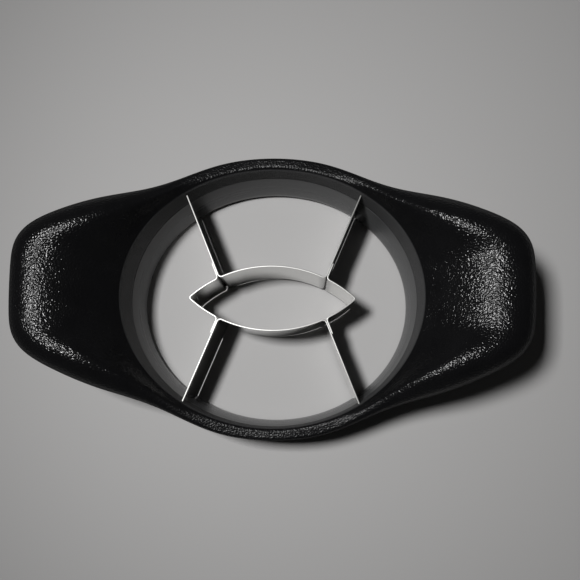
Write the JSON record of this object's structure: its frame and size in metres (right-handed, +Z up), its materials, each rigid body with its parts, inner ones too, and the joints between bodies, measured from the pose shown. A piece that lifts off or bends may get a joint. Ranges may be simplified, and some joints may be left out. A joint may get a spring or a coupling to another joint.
{
  "type": "mango slicer",
  "caption": "Hand press that cuts a mango round its flat stone, with an oval ring, two raised wing handles and a bent steel blade frame.",
  "frame": {"origin": "centre of the oval foot, on the plane that the slicer stands on", "axes": "+X along the two handles, +Y across the ring, +Z up from the foot to the handles"},
  "size_m": [0.1988, 0.118, 0.0513],
  "materials": {
    "core_plastic": "smooth satin, moulded",
    "grip_rubber": "fine grained, soft touch",
    "blade_steel": "polished strip, ground lower edge"
  },
  "bodies": {
    "root": {"frame_core": "core_plastic", "soft_grip": "grip_rubber", "pit_blade_left": "blade_steel", "pit_blade_right": "blade_steel", "pit_blade_back": "blade_steel", "pit_blade_front": "blade_steel"}
  },
  "joints": []
}
